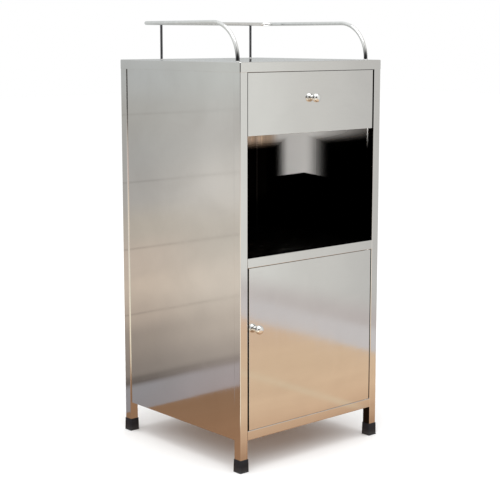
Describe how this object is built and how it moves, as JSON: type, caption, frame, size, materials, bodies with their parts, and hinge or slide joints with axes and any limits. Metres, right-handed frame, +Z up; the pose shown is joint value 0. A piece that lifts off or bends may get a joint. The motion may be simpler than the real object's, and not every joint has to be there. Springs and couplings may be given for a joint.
{
  "type": "bedside cabinet",
  "caption": "Free-standing stainless-steel bedside cabinet on square-tube legs, with a top drawer, an open compartment, a hinged cupboard door and a low guard rail.",
  "frame": {"origin": "on the floor, under the centre of the overall box with the knobs and feet included; the middle of the four legs is 8.9 mm behind it", "axes": "+X to the cabinet's right as seen from the front, +Y to the back, +Z up; the drawer and door face -Y"},
  "size_m": [0.4044, 0.4222, 0.917],
  "materials": {
    "stainless_outer": "semi-mirror polished stainless sheet and tube",
    "stainless_inner": "mill-finish stainless sheet and tube",
    "chrome": "bright chrome plating",
    "plated_steel": "zinc-plated steel",
    "foot_rubber": "matt black rubber",
    "magnet_block": "matt black plastic round a ferrite magnet",
    "nylon": "satin natural nylon"
  },
  "bodies": {
    "cabinet": {"leg_front_left": "stainless_outer", "leg_front_right": "stainless_outer", "leg_rear_left": "stainless_outer", "leg_rear_right": "stainless_outer", "foot_front_left": "foot_rubber", "foot_front_right": "foot_rubber", "foot_rear_left": "foot_rubber", "foot_rear_right": "foot_rubber", "top_plate": "stainless_outer", "top_rail_front": "stainless_outer", "top_rail_rear": "stainless_inner", "top_rail_left": "stainless_inner", "top_rail_right": "stainless_inner", "mid_rail_front": "stainless_outer", "mid_rail_rear": "stainless_inner", "mid_rail_left": "stainless_inner", "mid_rail_right": "stainless_inner", "bottom_rail_front": "stainless_outer", "bottom_rail_rear": "stainless_inner", "bottom_rail_left": "stainless_inner", "bottom_rail_right": "stainless_inner", "side_panel_left": "stainless_outer", "side_panel_right": "stainless_outer", "back_panel": "stainless_inner", "compartment_shelf": "stainless_inner", "bottom_panel": "stainless_inner", "drawer_runner_left": "plated_steel", "drawer_runner_right": "plated_steel", "runner_stops": "plated_steel", "guard_rail": "chrome", "guard_post_left": "chrome", "guard_post_right": "chrome", "hinge_pin_top": "plated_steel", "hinge_pin_bottom": "plated_steel", "catch_bracket": "plated_steel", "catch_magnet": "magnet_block", "catch_screws": "plated_steel"},
    "drawer": {"drawer_front": "stainless_outer", "drawer_front_liner": "stainless_inner", "drawer_base": "stainless_inner", "drawer_box_front": "stainless_inner", "drawer_box_back": "stainless_inner", "drawer_side_left": "stainless_inner", "drawer_side_right": "stainless_inner", "drawer_glide_left": "nylon", "drawer_glide_right": "nylon", "drawer_stops": "plated_steel", "drawer_front_screws": "plated_steel", "drawer_knob": "chrome", "drawer_knob_screw": "plated_steel"},
    "door": {"door_outer_panel": "stainless_outer", "door_inner_panel": "stainless_inner", "hinge_bush_top": "nylon", "hinge_bush_bottom": "nylon", "strike_plate": "plated_steel", "door_knob": "chrome", "door_knob_screw": "plated_steel"}
  },
  "joints": [
    {"name": "drawer_slide", "type": "slide", "parent": "cabinet", "child": "drawer", "axis": [0, -1, 0], "range_m": [0, 0.26]},
    {"name": "door_hinge", "type": "hinge", "parent": "cabinet", "child": "door", "pos_m": [0.1685, -0.1836, 0.255], "axis": [0, 0, 1], "range_deg": [0, 110]}
  ]
}
